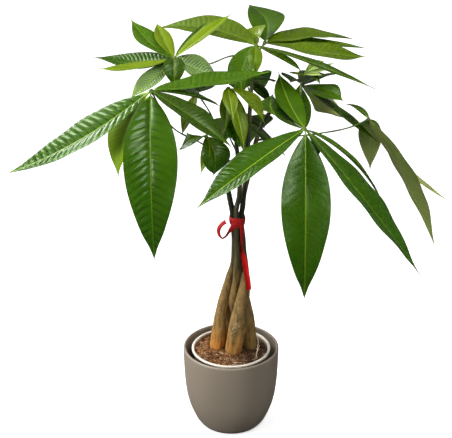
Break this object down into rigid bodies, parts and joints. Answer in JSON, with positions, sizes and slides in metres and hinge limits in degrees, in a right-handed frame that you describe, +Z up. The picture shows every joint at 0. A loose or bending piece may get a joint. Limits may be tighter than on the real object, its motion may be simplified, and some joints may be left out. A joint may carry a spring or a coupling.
{
  "type": "potted money tree",
  "caption": "Potted money tree with a twisted bare trunk of several stems, hand-shaped drooping leaves, a red ribbon tie and a round taupe cover pot.",
  "frame": {"origin": "centre of the cover pot's flat underside, on the surface it stands on", "axes": "+Z up the trunk, -Y towards the viewer of the picture, +X to the viewer's right"},
  "size_m": [0.6539, 0.4499, 0.6487],
  "materials": {
    "pot_glaze": "matte",
    "nursery_plastic": "satin",
    "coir": "matte",
    "bark": "matte",
    "leaf_green": "satin",
    "ribbon_red": "satin"
  },
  "bodies": {
    "root": {"cover_pot": "pot_glaze", "nursery_pot": "nursery_plastic", "soil": "coir", "stem_left": "bark", "stem_back": "bark", "stem_front": "bark", "stem_right": "bark", "leaf_front_left": "leaf_green", "leaf_left": "leaf_green", "leaf_top": "leaf_green", "leaf_top_right": "leaf_green", "leaf_front_right": "leaf_green", "leaf_right": "leaf_green", "leaf_right_back": "leaf_green", "leaf_bud": "leaf_green", "leaf_centre": "leaf_green", "leaf_centre_low": "leaf_green", "leaf_left_low": "leaf_green", "leaf_inner": "leaf_green", "leaf_back": "leaf_green", "leaf_back_low": "leaf_green", "ribbon": "ribbon_red"}
  },
  "joints": []
}
